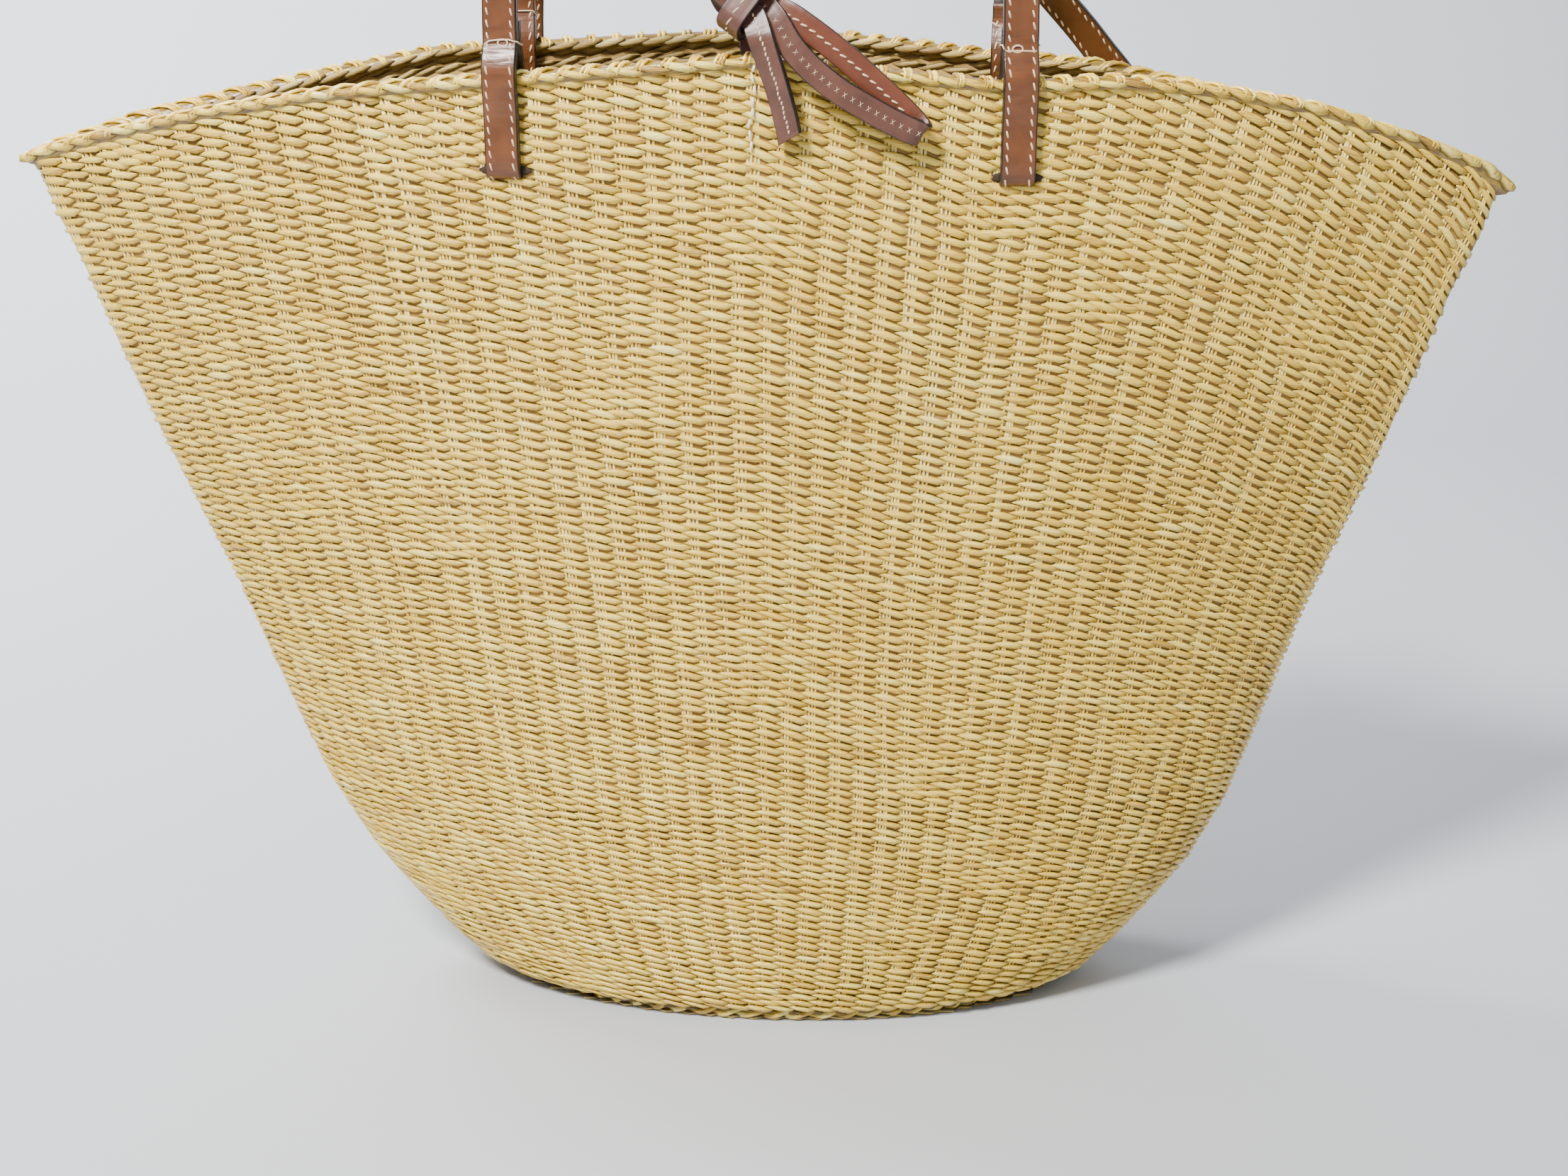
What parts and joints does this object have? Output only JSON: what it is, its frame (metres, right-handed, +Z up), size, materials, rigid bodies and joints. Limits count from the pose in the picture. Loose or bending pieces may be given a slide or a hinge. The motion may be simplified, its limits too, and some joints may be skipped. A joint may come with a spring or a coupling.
{
  "type": "straw basket bag",
  "caption": "Open woven straw bag, wide at the mouth and narrow at the base, with two flat leather handles through slits and a knotted leather tie across the rim.",
  "frame": {"origin": "on the floor, in the middle of the flat underside of the base", "axes": "+X to the bag's right as seen from its front, front towards -Y, +Z up"},
  "size_m": [0.5128, 0.1471, 0.5085],
  "materials": {
    "straw": "dry woven straw with a slight sheen",
    "straw_edge": "dry twisted straw",
    "leather": "smooth, satin, with dark painted edges"
  },
  "bodies": {
    "root": {"basket_shell": "straw", "rim_braid": "straw_edge", "base_ring": "straw_edge", "handle_front": "leather", "handle_rear": "leather", "tie_knot": "leather", "tie_loop": "leather", "tie_front_strap": "leather", "tie_rear_strap": "leather"}
  },
  "joints": []
}
